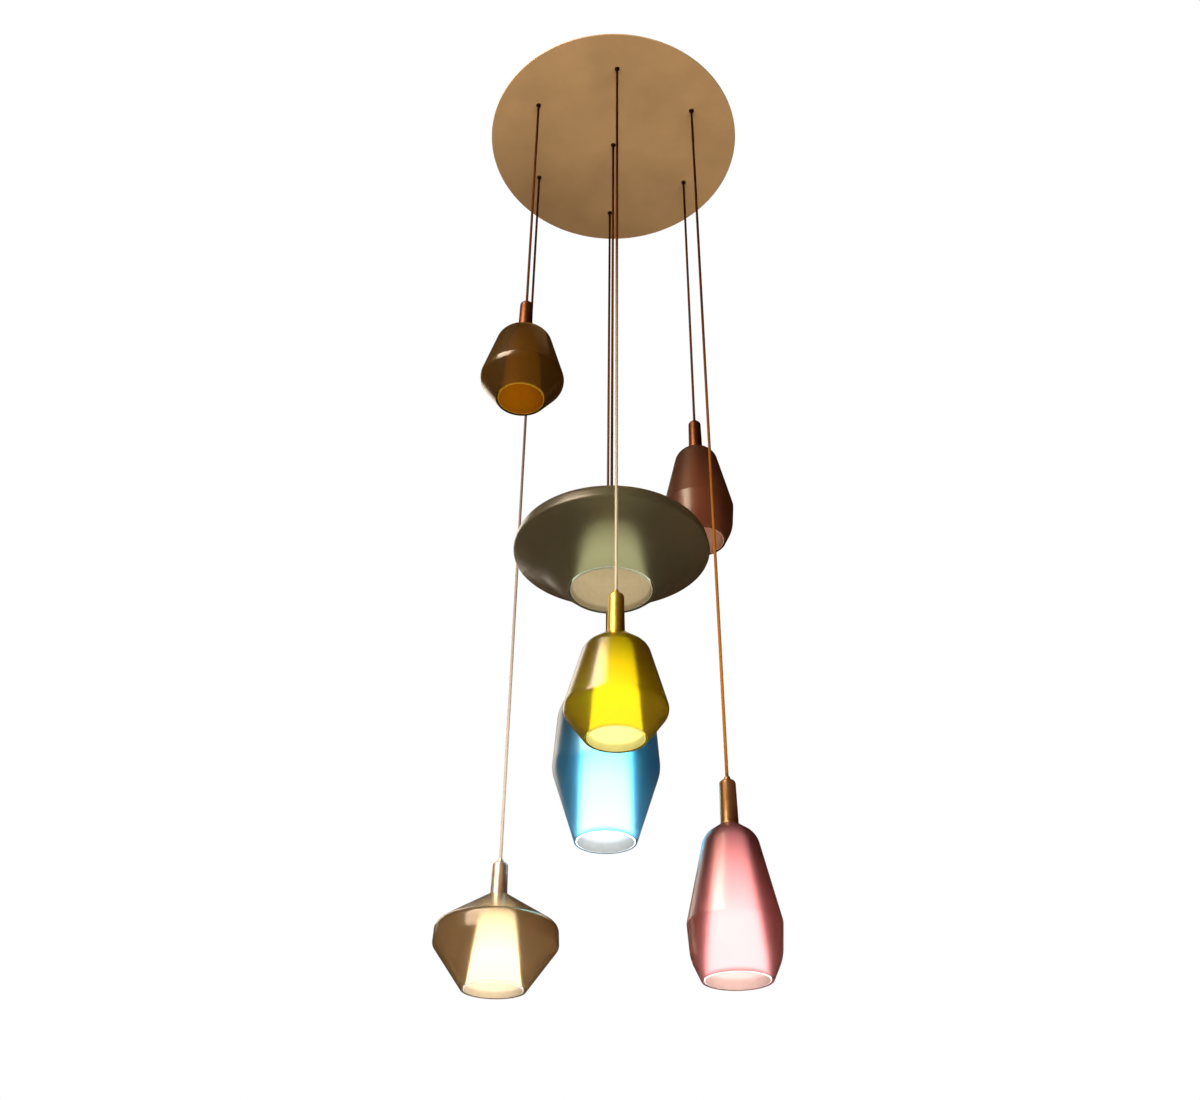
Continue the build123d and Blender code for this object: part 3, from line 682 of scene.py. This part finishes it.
def hang_stem(pendant, neck, stem_top, metal, metal_slot):
    """The stem on the neck of the glass, and the cord grip in its top."""
    head = pendant + "_head"
    grip_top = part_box(pendant + "_cord_grip")[1].z
    piece(pendant + "_turned_stem", stem_shape((stem_top - neck.z) / MM), neck, head,
          [metal], metal_slot, pendant + "_stem")
    stem_end = Vector((neck.x, neck.y, stem_top))
    piece(pendant + "_turned_grip", grip_shape((grip_top - stem_top) / MM), stem_end, head,
          [metal], metal_slot, pendant + "_cord_grip")


def hang_cord(pendant, neck, stem_top):
    """The taut cord from its outlet in the canopy into the stem."""
    outlet = Vector((neck.x, neck.y, CORD_TOP * MM))
    cord_end = Vector((neck.x, neck.y, stem_top - CORD_INTO_STEM * MM))
    length = (outlet - cord_end).length
    textile = cord_textile(pendant, cord_end.z, outlet.z)
    cord = piece(pendant + "_braided_cord", cord_shape(length / MM), outlet, pendant + "_line",
                 [textile], "cord_textile", pendant + "_cord")


def hang_pendant(pendant, metal, metal_slot):
    """One pendant: its shade, diffuser, stem, cord grip and cord, and the finish of its lamp."""
    low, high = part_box(pendant + "_shade")
    neck = Vector(((low.x + high.x) / 2, (low.y + high.y) / 2, high.z))
    stem_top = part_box(pendant + "_stem")[1].z
    hang_shade(pendant, neck, low.z)
    hang_diffuser(pendant, neck)
    hang_stem(pendant, neck, stem_top, metal, metal_slot)
    hang_cord(pendant, neck, stem_top)
    dress(pendant + "_lamp", lamp_bulb(pendant))


def dress(node, material):
    """Gives a CAD node its finish."""
    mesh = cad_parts[node].data
    mesh.materials.clear()
    mesh.materials.append(material)


def dress_canopy():
    steel = sheet_metal("screw_steel", colour=(0.52, 0.52, 0.53), roughness=0.28)
    dress("canopy_disc", canopy_paint())
    dress("ceiling_pan", sheet_metal("zinc_sheet", colour=(0.60, 0.61, 0.62), roughness=0.38))
    dress("outlet_bushes", sheet_metal("bush_bronze", colour=(0.10, 0.065, 0.04), roughness=0.36))
    for node in ("side_screws", "bush_nuts", "cord_stops", "block_screws"):
        dress(node, steel)
    dress("inner_leads", moulded("lead_sheath", colour=(0.80, 0.79, 0.76), roughness=0.45))
    dress("terminal_block", moulded("block_plastic", colour=(0.84, 0.83, 0.78), roughness=0.4))
    dress("earth_terminal", sheet_metal("earth_brass", colour=(0.70, 0.52, 0.22), roughness=0.3))
    dress("supply_grommet", moulded("grommet_rubber", colour=(0.03, 0.03, 0.03), roughness=0.55))


def hang_pendants():
    metals = {metal: turned_metal("stem_" + metal, colour) for metal, colour in STEM_METALS.items()}
    ceramic = moulded("holder_ceramic", colour=(0.88, 0.87, 0.83), roughness=0.5)
    for pendant, kind in PENDANTS.items():
        slot = "stem_champagne" if kind.metal == "champagne" else "stem_brass"
        hang_pendant(pendant, metals[kind.metal], slot)
        dress(pendant + "_lampholder", ceramic)


def set_camera():
    camera = bpy.data.objects.new("camera", bpy.data.cameras.new("camera"))
    bpy.context.scene.collection.objects.link(camera)
    camera.data.sensor_fit = "HORIZONTAL"
    camera.data.sensor_width = CAMERA_SENSOR_MM
    camera.data.lens = CAMERA_LENS_MM
    forward = Vector((
        sin(CAMERA_HEADING) * cos(CAMERA_TILT),
        cos(CAMERA_HEADING) * cos(CAMERA_TILT),
        sin(CAMERA_TILT),
    ))
    right = forward.cross(Vector((0, 0, 1))).normalized()
    up = right.cross(forward)
    rolled_right = cos(CAMERA_ROLL) * right + sin(CAMERA_ROLL) * up
    rolled_up = rolled_right.cross(forward)
    turned = Matrix((rolled_right, rolled_up, -forward)).transposed().to_4x4()
    camera.matrix_world = Matrix.Translation(CAMERA_PLACE) @ turned
    bpy.context.scene.camera = camera


def lay_floor():
    """A plain pale floor at the photographer's feet, which only the camera sees."""
    shape = bmesh.new()
    bmesh.ops.create_grid(shape, x_segments=1, y_segments=1, size=FLOOR_REACH)
    bmesh.ops.translate(shape, verts=shape.verts[:], vec=(0, 0, CAMERA_PLACE.z - EYE_HEIGHT))
    mesh = bpy.data.meshes.new("floor")
    shape.to_mesh(mesh)
    shape.free()
    finish = Finish("floor_pale")
    finish.clouds(finish.noise(size=0.6, detail=4.0), FLOOR_DARK, FLOOR_PALE)
    finish.set(roughness=0.9, emission_color=FLOOR_GLOW, emission_strength=FLOOR_GLOW_STRENGTH)
    mesh.materials.append(finish.material)
    floor = bpy.data.objects.new("floor", mesh)
    bpy.context.scene.collection.objects.link(floor)
    floor.visible_glossy = False
    floor.visible_transmission = False
    floor.visible_diffuse = False


def hang_light(name, kind):
    """A soft light that shows only in what it lights, and in reflections where it is glossy."""
    light = bpy.data.lights.new(name, "AREA")
    light.shape = "RECTANGLE"
    light.size = kind.width
    light.size_y = kind.height
    light.energy = kind.watts
    light.color = WARM_WHITE
    lamp = bpy.data.objects.new(name, light)
    lamp.location = kind.place
    lamp.rotation_mode = "QUATERNION"
    lamp.rotation_quaternion = (Vector(kind.target) - Vector(kind.place)).to_track_quat("-Z", "Y")
    lamp.visible_camera = False
    lamp.visible_transmission = False
    lamp.visible_glossy = kind.glossy
    bpy.context.scene.collection.objects.link(lamp)


def light_room():
    """A white backdrop, a dim warm room for the reflections and soft studio lights."""
    world = bpy.data.worlds.new("room")
    bpy.context.scene.world = world
    world.use_nodes = True
    tree = world.node_tree
    backdrop = tree.nodes["Background"]
    backdrop.inputs["Color"].default_value = (1, 1, 1, 1)
    room = tree.nodes.new("ShaderNodeBackground")
    direction = tree.nodes.new("ShaderNodeTexCoord")
    split = tree.nodes.new("ShaderNodeSeparateXYZ")
    side = tree.nodes.new("ShaderNodeMapRange")
    side.inputs["From Min"].default_value = -1.0
    walls = tree.nodes.new("ShaderNodeValToRGB")
    walls.color_ramp.elements[0].color = (*ROOM_LEFT, 1)
    walls.color_ramp.elements[1].color = (*ROOM_RIGHT, 1)
    rays = tree.nodes.new("ShaderNodeLightPath")
    mix = tree.nodes.new("ShaderNodeMixShader")
    tree.links.new(direction.outputs["Generated"], split.inputs["Vector"])
    tree.links.new(split.outputs["X"], side.inputs["Value"])
    tree.links.new(side.outputs["Result"], walls.inputs["Fac"])
    tree.links.new(walls.outputs["Color"], room.inputs["Color"])
    tree.links.new(rays.outputs["Is Camera Ray"], mix.inputs["Fac"])
    tree.links.new(room.outputs["Background"], mix.inputs[1])
    tree.links.new(backdrop.outputs["Background"], mix.inputs[2])
    tree.links.new(mix.outputs["Shader"], tree.nodes["World Output"].inputs["Surface"])
    for name, kind in SOFT_LIGHTS.items():
        hang_light(name, kind)


dress_canopy()
hang_pendants()
set_camera()
lay_floor()
light_room()
bpy.context.scene.view_settings.view_transform = "Standard"
